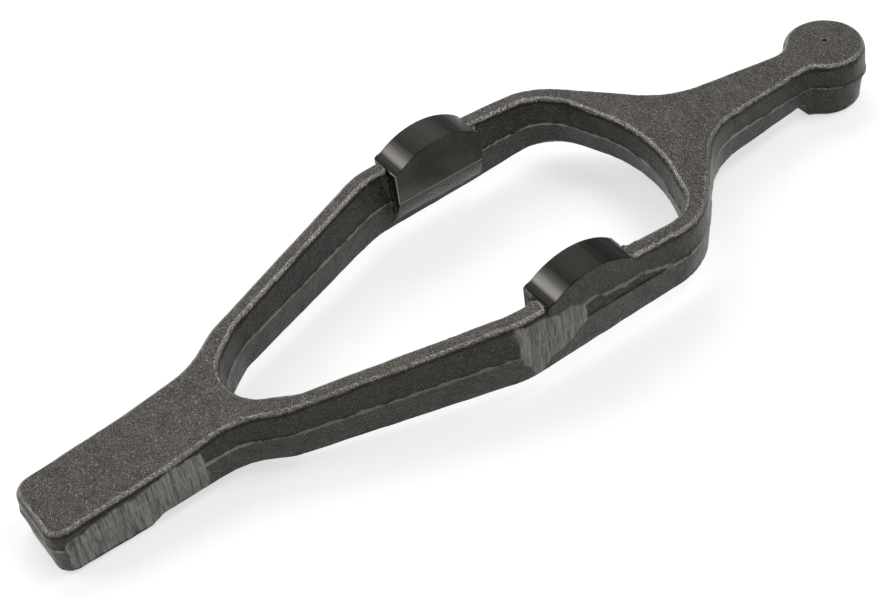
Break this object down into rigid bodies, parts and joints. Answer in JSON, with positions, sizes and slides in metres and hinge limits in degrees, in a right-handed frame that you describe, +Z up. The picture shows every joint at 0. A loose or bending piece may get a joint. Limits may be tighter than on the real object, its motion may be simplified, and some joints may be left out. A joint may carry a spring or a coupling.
{
  "type": "clutch release fork",
  "caption": "Forged clutch release fork: push-rod tang, open ring with two crowned bearing pads, and a tapering neck to a round pivot boss.",
  "frame": {"origin": "middle of the fork's bounding box, on the floor that it lies on", "axes": "+X along the fork from the push-rod tang to the pivot boss, +Y across it from one bearing pad to the other, +Z up from the seats to the pads"},
  "size_m": [0.403, 0.116, 0.0462],
  "materials": {
    "forged_steel": "shot-blasted and oiled drop forging"
  },
  "bodies": {
    "root": {"clutch_fork": "forged_steel"}
  },
  "joints": []
}
